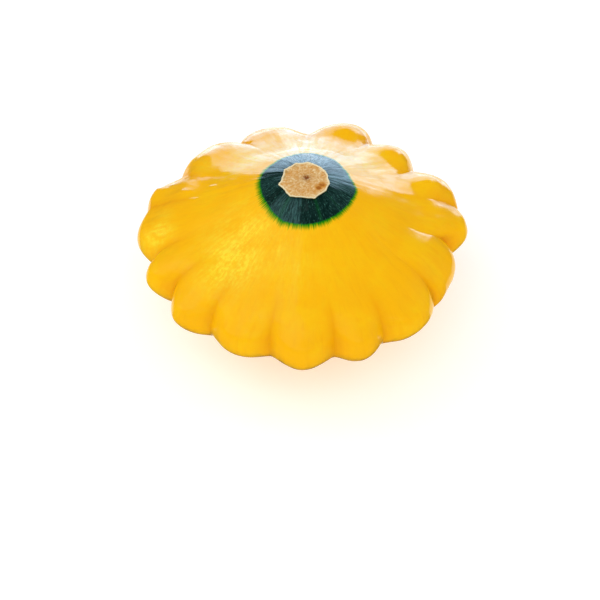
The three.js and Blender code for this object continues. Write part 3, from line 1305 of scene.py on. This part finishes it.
@dataclass(frozen=True)
class Ripple:
    """Unevenness that closes round the stub: how close its waves lie and the seed of its noise."""

    rate: float
    seed: float

    def sample(self, azimuth: np.ndarray) -> np.ndarray:
        """Samples it round the stub.

        Args:
            azimuth: The azimuths to sample it at.

        Returns:
            Values between about -1 and 1.
        """
        angle = np.radians(azimuth)
        circle = np.stack([np.cos(angle), np.sin(angle), np.zeros_like(angle)], axis=-1)
        return noise_field(circle * self.rate, 1.0, self.seed)


@dataclass
class Ring:
    """One ring of the stub.

    radius and height are one number, or one for each column. side, lip and
    face say how much of the ring belongs to each of them.
    """

    radius: float | np.ndarray
    height: float | np.ndarray
    side: float = 0.0
    lip: float = 0.0
    face: float = 0.0


@dataclass
class StemStub:
    """The dry stub of the cut stalk: a thin disc with a raised rim, let into the crown.

    Lengths are in millimetres. The lip is narrowest at the back, with
    back_width of its full width, and widens while minus the sine of the
    azimuth goes from the first to the second number of front.
    """

    outline: Outline = Outline()
    top: float = 67.3
    lip_width: float = 0.45
    lip_drop: float = 0.1
    back_width: float = 0.62
    front: Point = (-0.8, 0.2)
    face_drop: float = 0.42
    face_inset: float = 0.2
    gap: float = 0.3
    columns: int = 420
    face_rows: int = 64
    wobble: Ripple = Ripple(5.0, 2.3)
    waves: Ripple = Ripple(3.0, 9.1)
    crumbs: Ripple = Ripple(14.0, 31.0)
    edge_wobble: float = 0.18
    edge_crumbs: float = 0.08
    width_waves: float = 0.35
    width_crumbs: float = 0.2
    lip_wobble: float = 0.1
    lip_crumbs: float = 0.04
    fibres: Unevenness = Unevenness(0.07, 1.0, 4.4)
    fibre_lines: float = 9.0
    fibre_length: float = 2.5
    fibre_fade: Point = (0.4, 3.0)
    lumps: Unevenness = Unevenness(0.07, 1.6, 12.0)
    broad: Unevenness = Unevenness(0.09, 5.0, 40.0)
    sag_depth: float = 0.12
    sag_radius: float = 8.5
    heart: float = 0.3
    stains: tuple[Mark, ...] = (
        Mark(6.3, -3.7, 1.5, 1.25), Mark(4.9, -5.3, 1.3, 1.3), Mark(-5.8, 2.4, 2.0, 0.5),
        Mark(1.0, 4.2, 2.0, 0.42), Mark(-7.2, -3.0, 1.2, 0.55), Mark(-1.5, -7.2, 2.4, 0.42),
        Mark(3.4, -7.2, 1.8, 0.5), Mark(6.7, 3.0, 0.5, 0.8), Mark(2.8, 0.8, 1.6, 0.35),
        Mark(-3.6, -3.4, 1.8, 0.3),
    )
    greys: tuple[Mark, ...] = (
        Mark(-8.5, 0.6, 0.8, 1.0), Mark(-7.3, 3.4, 0.7, 0.55), Mark(-3.9, 7.0, 1.2, 0.3),
    )
    grey_share: float = 0.8
    pit: Mark = Mark(-9.3, -2.6, 0.55, 0.5)
    pith: Mark = Mark(0.5, 0.6, 1.0, 0.25)
    pith_share: float = 3.2
    halo: Mark = Mark(0.2, 0.2, 1.7, 0.32)
    fold: tuple[Point, Point] = ((5.6, 5.0), (7.2, 3.4))
    fold_width: float = 0.35
    fold_rise: float = 0.22
    fold_share: float = 0.7

    def spread(self, marks: tuple[Mark, ...], grid: np.ndarray) -> np.ndarray:
        """Spreads a set of patches.

        Args:
            marks: The patches.
            grid: The points that they may cover.

        Returns:
            How strongly each point is covered.
        """
        cover = np.zeros(grid.shape[:-1])
        for mark in marks:
            away = np.hypot(grid[:, :, 0] - mark.x, grid[:, :, 1] - mark.y)
            cover = np.maximum(cover, mark.strength * bell(away, 0.0, mark.reach))
        return cover

    def folded(self, grid: np.ndarray) -> np.ndarray:
        """Finds the small fold inside the rim.

        Args:
            grid: The points of the stub.

        Returns:
            1 on the fold and 0 off it.
        """
        start, end = (np.array(each) for each in self.fold)
        way = end - start
        share = np.clip(((grid[:, :, :2] - start) @ way) / (way @ way), 0, 1)
        away = np.linalg.norm(grid[:, :, :2] - (start + share[:, :, None] * way), axis=-1)
        return bell(away, 0.0, self.fold_width)

    def rings(self, azimuth: np.ndarray) -> list[Ring]:
        """Lays out the stub's rings, from the axis at its base over the lip to the axis on its face.

        Args:
            azimuth: The azimuths of the columns.

        Returns:
            The rings, in order.
        """
        wobble = self.wobble.sample(azimuth)
        crumbs = self.crumbs.sample(azimuth)
        outer = self.outline.reach(azimuth) + self.edge_wobble * wobble + self.edge_crumbs * crumbs
        uneven = 1 + self.width_waves * self.waves.sample(azimuth) + self.width_crumbs * crumbs
        front = smoothstep(-np.sin(np.radians(azimuth)), *self.front)
        width = self.lip_width * uneven * (self.back_width + (1 - self.back_width) * front)
        lip = self.top - self.lip_drop + self.lip_wobble * wobble + self.lip_crumbs * crumbs

        tenon = SEAT_RADIUS - self.gap
        base = SEAT_FLOOR + self.gap
        under = CROWN_HEIGHT + self.gap
        rim = outer - width
        face_top = self.top - self.face_drop
        face_edge = rim - self.face_inset
        rings = [
            Ring(0, base, side=1),
            Ring(tenon / 2, base, side=1),
            Ring(tenon, base, side=1),
            Ring(tenon, under - 0.6, side=1),
            Ring(tenon, under, side=1),
            Ring((tenon + rim) / 2, under + 0.12, side=1),
            Ring(rim, under + 0.22, side=1),
            Ring(outer - 0.2, under + 0.3, side=1),
            Ring(outer - 0.04, under + 0.45, side=1),
            Ring(outer, under + 0.65, side=0.8, lip=1),
            Ring(outer - 0.03, lip - 0.22, side=0.3, lip=1),
            Ring(outer - 0.12, lip - 0.07, lip=1),
            Ring(outer - width * 0.32, lip, lip=1),
            Ring(outer - width * 0.6, lip - 0.05, lip=1),
            Ring(outer - width * 0.82, lip - 0.2, lip=1),
            Ring(rim, lip - 0.36, lip=1),
            Ring(face_edge, (lip - 0.38 + face_top) / 2, lip=0.55),
        ]
        inward = np.linspace(1, 0, self.face_rows)[1:]
        return rings + [Ring(face_edge * share, face_top, face=1) for share in inward]

    def weather(self, grid: np.ndarray) -> np.ndarray:
        """Works out how uneven the cut face is.

        Args:
            grid: The points of the smooth stub.

        Returns:
            How far each point rises, in millimetres, were it on the face.
        """
        radius = np.hypot(grid[:, :, 0], grid[:, :, 1])
        angle = np.radians(np.arange(self.columns) * TURN / self.columns)[:, None] + 0 * radius
        around = (np.cos(angle) * self.fibre_lines, np.sin(angle) * self.fibre_lines)
        fibres = self.fibres.sample(np.stack([*around, radius / self.fibre_length], axis=-1))
        fibres = fibres * smoothstep(radius, *self.fibre_fade)
        sag = self.sag_depth * (1 - (radius / self.sag_radius) ** 2)
        rise = fibres + self.lumps.sample(grid) + self.broad.sample(grid) - sag
        rise = rise - self.spread((self.pit, self.pith), grid) + self.fold_rise * self.folded(grid)
        off_heart = smoothstep(radius, 0.0, self.heart)
        middle = rise[:, -1:].mean()
        return np.where(radius > 0, rise * off_heart + middle * (1 - off_heart), rise.mean())

    def build(self, effects: Effects) -> bpy.types.Object:
        """Builds and dresses the stub.

        Args:
            effects: The shared effects.

        Returns:
            The stub's piece.
        """
        azimuth = np.arange(self.columns) * TURN / self.columns
        rings = self.rings(azimuth)
        radius = np.stack([np.broadcast_to(ring.radius, azimuth.shape) for ring in rings], axis=1)
        height = np.stack([np.broadcast_to(ring.height, azimuth.shape) for ring in rings], axis=1)
        grid = turned_grid(radius, height, np.tile(azimuth[:, None], (1, len(rings))))
        grid[:, :, 2] += np.array([ring.face for ring in rings]) * self.weather(grid)
        piece = closed_mesh("stem_cut", grid)
        self.dress(piece, grid, rings)
        piece.data.materials.append(CorkFinish().build(effects))
        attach(piece, Body.ROOT.value)
        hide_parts("stem_stub")
        return piece

    def dress(self, piece: bpy.types.Object, grid: np.ndarray, rings: list[Ring]) -> None:
        """Marks out the rim, the side, the stains, the grey patches and the pith.

        Args:
            piece: The stub's piece.
            grid: The points that it was made from.
            rings: The rings of the grid.
        """
        face = np.array([ring.face for ring in rings])
        lip = np.tile([ring.lip for ring in rings], (self.columns, 1))
        write_mask(piece, "rim", np.maximum(lip, self.fold_share * face * self.folded(grid)))
        write_mask(piece, "side", np.tile([ring.side for ring in rings], (self.columns, 1)))
        write_mask(piece, "stain", face * self.spread(self.stains, grid))
        write_mask(piece, "grey", self.spread(self.greys, grid) * self.grey_share)
        pith = self.spread((self.halo,), grid) + self.spread((self.pith,), grid) * self.pith_share
        write_mask(piece, "pith", face * np.clip(pith, 0, 1))


# --------------------------------------------------------------------------
# The studio
# --------------------------------------------------------------------------


@dataclass(frozen=True)
class Softbox:
    """A softbox that faces the fruit.

    place is where its middle hangs and size its width and height, in metres.
    radiance is how bright its face is, where a lit white wall is 1. lit says
    whether its light falls on matt surfaces and mirrored whether gloss shows it.
    """

    name: str
    place: tuple[float, float, float]
    size: tuple[float, float]
    radiance: float
    tint: tuple[float, float, float] = (1.0, 1.0, 1.0)
    lit: bool = True
    mirrored: bool = False


SOFTBOXES: tuple[Softbox, ...] = (
    Softbox("back_panel", (0.15, 1.29, 0.135), (1.4, 1.18), 2.15, (0.53, 0.765, 1.0), False, True),
    Softbox("back_panel_centre", (0.13, 1.28, 0.2), (0.5, 0.7), 0.9, (0.6, 0.8, 1.0), False, True),
    Softbox("back_panel_right", (0.57, 1.14, 0.36), (0.3, 0.5), 2.6, (0.5, 0.76, 1.0), False, True),
    Softbox("table_glow", (0.0, 1.0, -0.72), (4.4, 1.0), 1.1, (1.0, 0.84, 0.62), False, True),
    Softbox("front_softbox", (-0.05, -0.92, 1.12), (1.2, 1.2), 1.52),
    Softbox("left_softbox", (-0.62, -0.07, 1.18), (1.0, 1.2), 0.35, (0.85, 0.95, 1.0), True, True),
    Softbox("left_fill", (-1.0, 0.45, 0.7), (0.8, 0.8), 1.5),
    Softbox("right_fill", (1.1, 0.25, 0.6), (0.8, 0.8), 0.9),
)


@dataclass
class Studio:
    """The camera, the floor and the lights, in metres."""

    elevation: float = 45.0
    distance: float = 0.6045
    middle: tuple[float, float, float] = (0.0, 0.0, 0.033)
    aim: tuple[float, float, float] = (-0.00196, -0.0161, 0.0169)
    focal_px: float = 1543.0
    sensor: float = 36.0
    floor_side: float = 12.0
    floor_white: Colour = (0.8, 0.8, 0.8, 1.0)
    floor_roughness: float = 0.8
    floor_glow: float = 0.36
    room: Colour = (0.6, 0.6, 0.6, 1.0)
    mirrored_room: Colour = (0.015, 0.06, 0.05, 1.0)
    softboxes: tuple[Softbox, ...] = SOFTBOXES

    def camera(self) -> None:
        """Makes the camera."""
        data = bpy.data.cameras.new("camera")
        data.sensor_width = self.sensor
        data.lens = self.sensor * self.focal_px / PICTURE_SIDE
        camera = bpy.data.objects.new("camera", data)
        tilt = math.radians(self.elevation)
        back = Vector((0.0, -math.cos(tilt), math.sin(tilt)))
        camera.location = Vector(self.middle) + back * self.distance
        camera.rotation_euler = (Vector(self.aim) - camera.location).to_track_quat("-Z", "Y").to_euler()
        bpy.context.scene.collection.objects.link(camera)
        bpy.context.scene.camera = camera

    def floor(self) -> None:
        """Lays the floor."""
        half = self.floor_side / 2
        corners = [(-half, -half, 0), (half, -half, 0), (half, half, 0), (-half, half, 0)]
        mesh = bpy.data.meshes.new("floor")
        mesh.from_pydata(corners, [], [(0, 1, 2, 3)])
        floor = bpy.data.objects.new("floor", mesh)
        bpy.context.scene.collection.objects.link(floor)
        material, graph, shader = new_material("floor_white")
        graph.feed_by_name(shader, {
            "Base Color": self.floor_white,
            "Roughness": self.floor_roughness,
            "Emission Color": (1.0, 1.0, 1.0, 1.0),
            "Emission Strength": self.floor_glow,
        })
        mesh.materials.append(material)
        floor.visible_glossy = False

    def hang(self, softbox: Softbox) -> None:
        """Hangs a softbox.

        Args:
            softbox: The softbox.
        """
        width, height = softbox.size
        data = bpy.data.lights.new(softbox.name, "AREA")
        data.shape = "RECTANGLE"
        data.size = width
        data.size_y = height
        data.energy = softbox.radiance * math.pi * width * height
        data.color = softbox.tint
        light = bpy.data.objects.new(softbox.name, data)
        light.location = softbox.place
        away = Vector(softbox.place) - Vector(self.middle)
        light.rotation_euler = away.to_track_quat("Z", "Y").to_euler()
        light.visible_diffuse = softbox.lit
        light.visible_glossy = softbox.mirrored
        bpy.context.scene.collection.objects.link(light)

    def surround(self) -> None:
        """Sets up the even light of the room, which gloss shows as nearly dark."""
        world = bpy.data.worlds.new("room")
        world.use_nodes = True
        graph = Graph(world.node_tree)
        backdrop = world.node_tree.nodes["Background"]
        glossy = graph.add("ShaderNodeLightPath").outputs["Is Glossy Ray"]
        graph.feed(backdrop.inputs["Color"], graph.mix(glossy, self.room, self.mirrored_room))
        bpy.context.scene.world = world

    def build(self) -> None:
        """Builds the whole studio."""
        self.camera()
        self.floor()
        for softbox in self.softboxes:
            self.hang(softbox)
        self.surround()
        bpy.context.scene.view_settings.view_transform = "Standard"


def main() -> None:
    """Builds everything in order and reports each piece."""
    logging.basicConfig(level=logging.INFO, format="%(message)s")
    Studio().build()
    effects = Effects()
    for part in (Fruit(), StemStub()):
        piece = part.build(effects)
        log.info("%s: %d faces", piece.name, len(piece.data.polygons))


if __name__ == "__main__":
    main()
